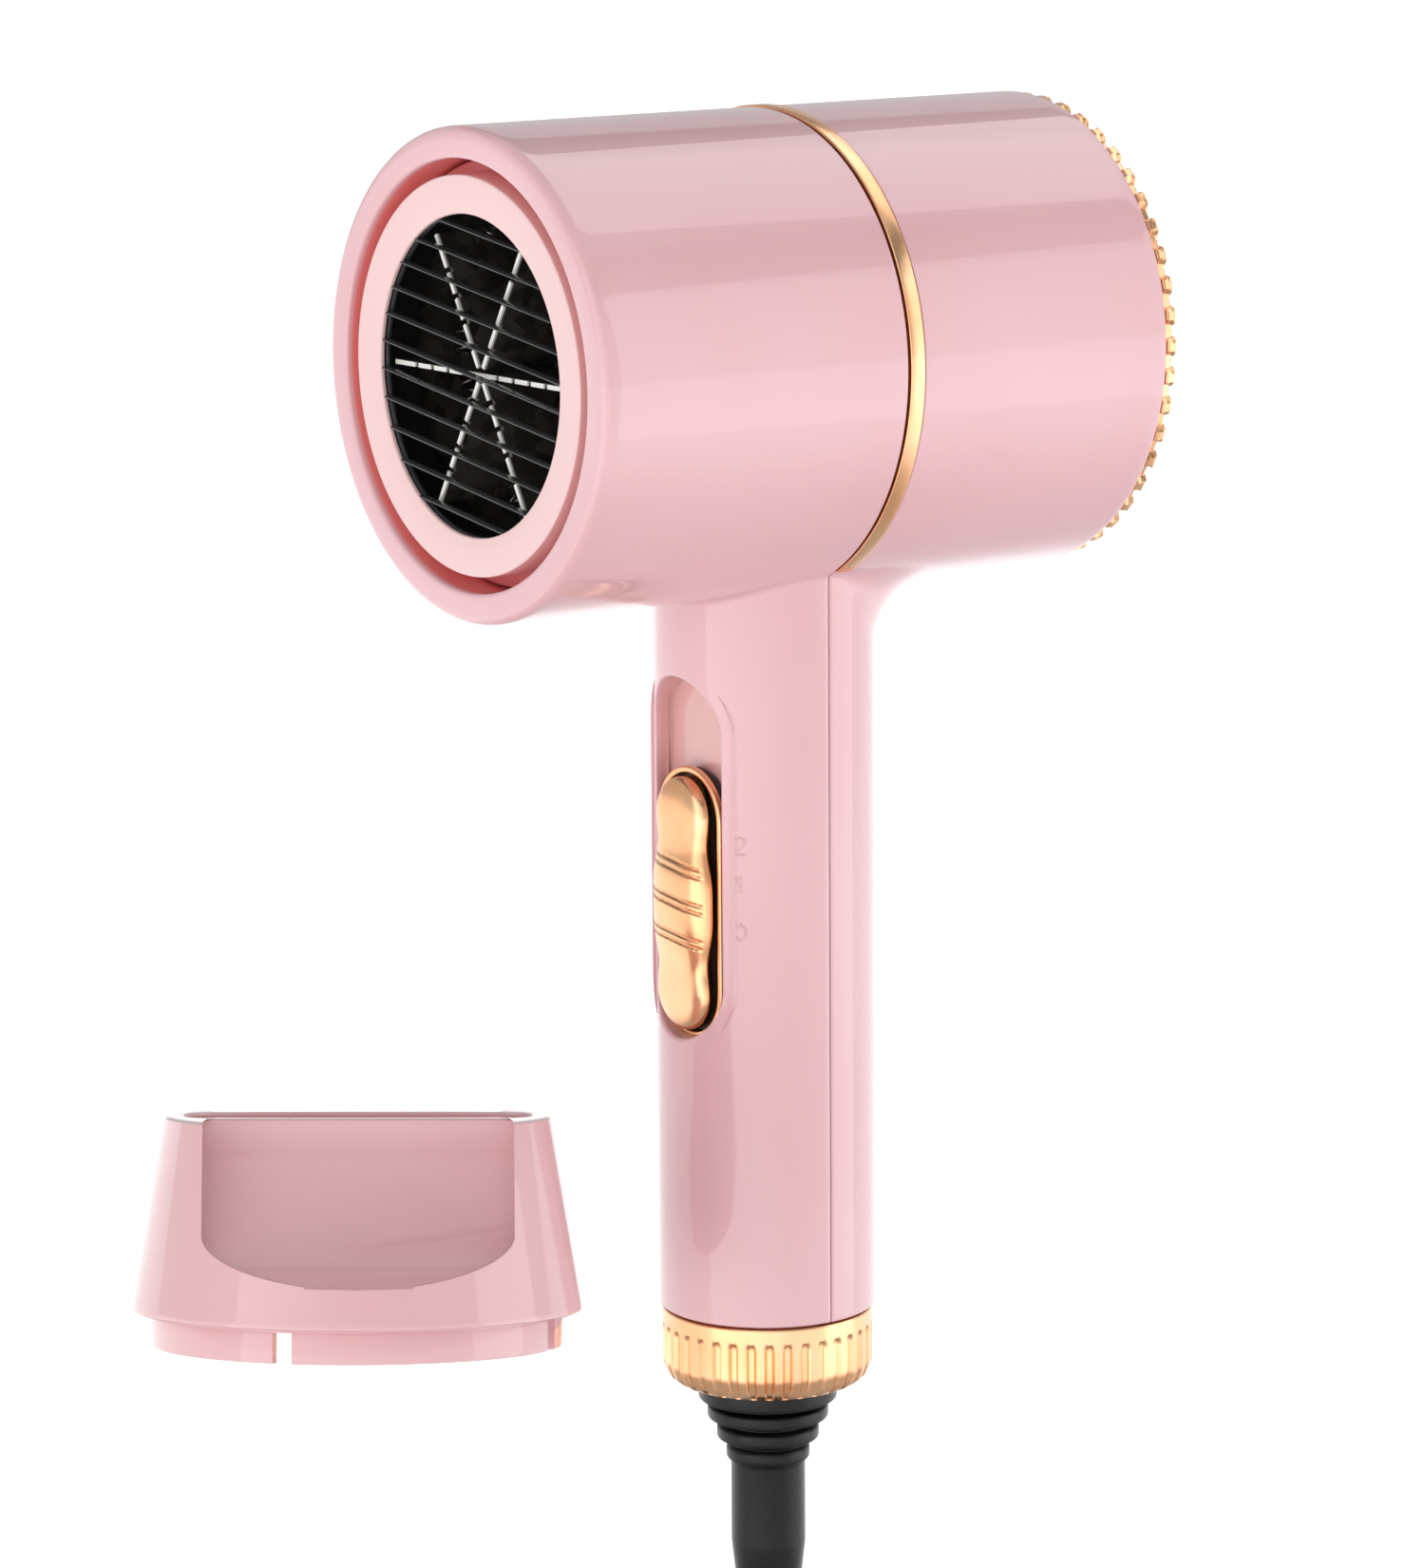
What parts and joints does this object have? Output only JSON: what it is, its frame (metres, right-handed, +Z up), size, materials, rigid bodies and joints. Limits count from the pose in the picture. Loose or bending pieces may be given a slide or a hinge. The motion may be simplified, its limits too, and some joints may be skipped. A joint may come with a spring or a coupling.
{
  "type": "travel hair dryer",
  "caption": "T-shaped pink travel hair dryer with gold trim, slide switch in the handle, mains cord tied in a hank, and a loose concentrator nozzle.",
  "frame": {"origin": "middle of the grip, on the handle's axis", "axes": "+Z up along the handle to the barrel, -Y the way the air blows, +X to the left of someone holding it"},
  "size_m": [0.0834, 0.1637, 0.5383],
  "materials": {
    "pink_gloss": "glossy pale pink moulding",
    "pink_pale": "paler pink, satin gloss, heat resistant",
    "gold_plate": "bright rose gold plating",
    "black_enamel": "black enamelled wire",
    "black_plastic": "black moulded plastic, fine satin",
    "black_rubber": "soft black PVC",
    "black_nylon": "glass filled nylon",
    "white_plastic": "natural white nylon",
    "mica": "pressed mica sheet, flaky sheen",
    "nichrome": "oxidised resistance wire",
    "bright_steel": "zinc plated steel",
    "green_board": "green solder mask",
    "blue_lead": "blue insulated lead"
  },
  "bodies": {
    "dryer": {"front_housing": "pink_gloss", "rear_housing": "pink_gloss", "trim_ring": "gold_plate", "outlet_collar": "pink_pale", "outlet_grille": "black_enamel", "mica_tube": "mica", "mica_plate_a": "mica", "mica_plate_b": "mica", "mica_plate_c": "mica", "heating_coil": "nichrome", "thermostat": "bright_steel", "thermal_fuse": "white_plastic", "fan_duct": "black_nylon", "motor_can": "bright_steel", "motor_endcap": "white_plastic", "rectifier_board": "green_board", "bridge_rectifier": "black_plastic", "rear_ring": "gold_plate", "rear_grille": "pink_gloss", "dust_mesh": "bright_steel", "switch_body": "black_plastic", "end_cap": "gold_plate", "boot": "black_rubber", "cord_stub": "black_rubber", "cord_clamp": "white_plastic", "clamp_screw_1": "bright_steel", "clamp_screw_2": "bright_steel", "handle_screw_upper": "bright_steel", "handle_screw_lower": "bright_steel", "live_wire": "blue_lead", "neutral_wire": "white_plastic", "heater_wire": "blue_lead", "cord_lead": "black_rubber", "cord_hank": "black_rubber", "cord_tie": "black_plastic", "cord_tail": "black_rubber", "plug_boot": "black_rubber", "plug_body": "black_plastic", "plug_pin_1": "bright_steel", "plug_pin_2": "bright_steel"},
    "fan": {"motor_shaft": "bright_steel", "fan_impeller": "black_nylon"},
    "slider": {"slide_carrier": "black_plastic", "knob_bezel": "gold_plate", "switch_knob": "gold_plate"},
    "nozzle": {"concentrator_nozzle": "pink_gloss"}
  },
  "joints": [
    {"name": "fan_spin", "type": "hinge", "parent": "dryer", "child": "fan", "pos_m": [0, 0.037, 0.095], "axis": [0, 1, 0], "continuous": true},
    {"name": "switch_slide", "type": "slide", "parent": "dryer", "child": "slider", "axis": [0, 0, 1], "range_m": [0, 0.014]},
    {"name": "nozzle_lift", "type": "slide", "parent": "dryer", "child": "nozzle", "axis": [0, 0, 1], "range_m": [0, 0.05]}
  ]
}
